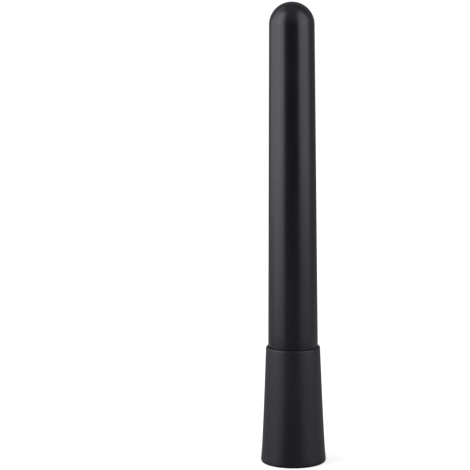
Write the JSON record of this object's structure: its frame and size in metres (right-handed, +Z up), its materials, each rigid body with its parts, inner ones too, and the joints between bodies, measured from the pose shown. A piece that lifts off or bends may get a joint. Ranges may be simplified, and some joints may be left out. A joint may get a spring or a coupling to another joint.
{
  "type": "car mast aerial",
  "caption": "Short screw-on car aerial: a tapered, dome-tipped sheath over a wound core, on a flared collar with a threaded socket in its recess.",
  "frame": {"origin": "centre of the collar's foot, on the surface that it stands on", "axes": "+Z runs up the mast from the foot to the tip; the slot for the wire's tail in the hidden ferrule faces +X"},
  "size_m": [0.0142, 0.0142, 0.1],
  "materials": {
    "sheath_plastic": "black moulded plastic, satin",
    "collar_plastic": "black moulded plastic, satin, a little more matte than the sheath",
    "ferrule_brass": "turned, bright",
    "rod_glass_fibre": "pultruded glass fibre in resin, natural",
    "coil_wire": null,
    "sleeve_plastic": "black heat-shrink tube",
    "solder": "tin solder, dull"
  },
  "bodies": {
    "root": {"mast_sheath": "sheath_plastic", "base_collar": "collar_plastic", "threaded_ferrule": "ferrule_brass", "core_rod": "rod_glass_fibre", "aerial_coil": "coil_wire", "coil_sleeve": "sleeve_plastic", "solder_joint": "solder"}
  },
  "joints": []
}
